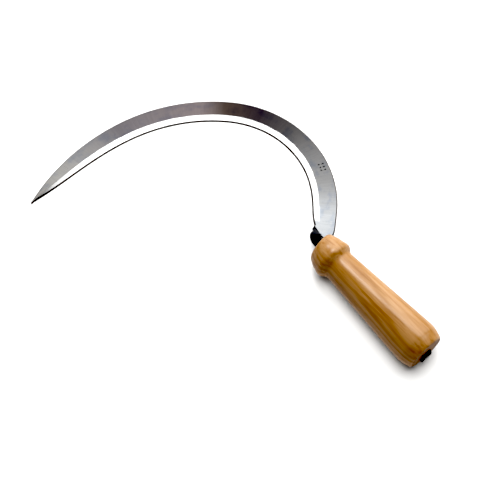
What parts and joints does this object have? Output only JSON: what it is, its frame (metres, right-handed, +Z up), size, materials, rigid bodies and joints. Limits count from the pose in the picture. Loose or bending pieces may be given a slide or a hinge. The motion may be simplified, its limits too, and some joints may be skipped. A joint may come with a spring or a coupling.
{
  "type": "hand sickle",
  "caption": "Hand sickle with a crescent blade ground along its inner edge, a cranked tang and a short turned wooden handle.",
  "frame": {"origin": "middle of the underside of the whole object's box, on the plane that the blade's underside and the handle rest on", "axes": "+Y along the handle's axis from its butt towards its nose, +X from the blade's tip towards its heel and the handle, +Z up from the blade's flat underside to its bevelled face"},
  "size_m": [0.207, 0.3064, 0.0334],
  "materials": {
    "ground_steel": "ground and brushed, with a bright ground bevel",
    "black_finish": "black lacquer over forged steel",
    "varnished_wood": "clear gloss varnish over pale turned wood"
  },
  "bodies": {
    "root": {"blade": "ground_steel", "tang": "black_finish", "handle": "varnished_wood"}
  },
  "joints": []
}
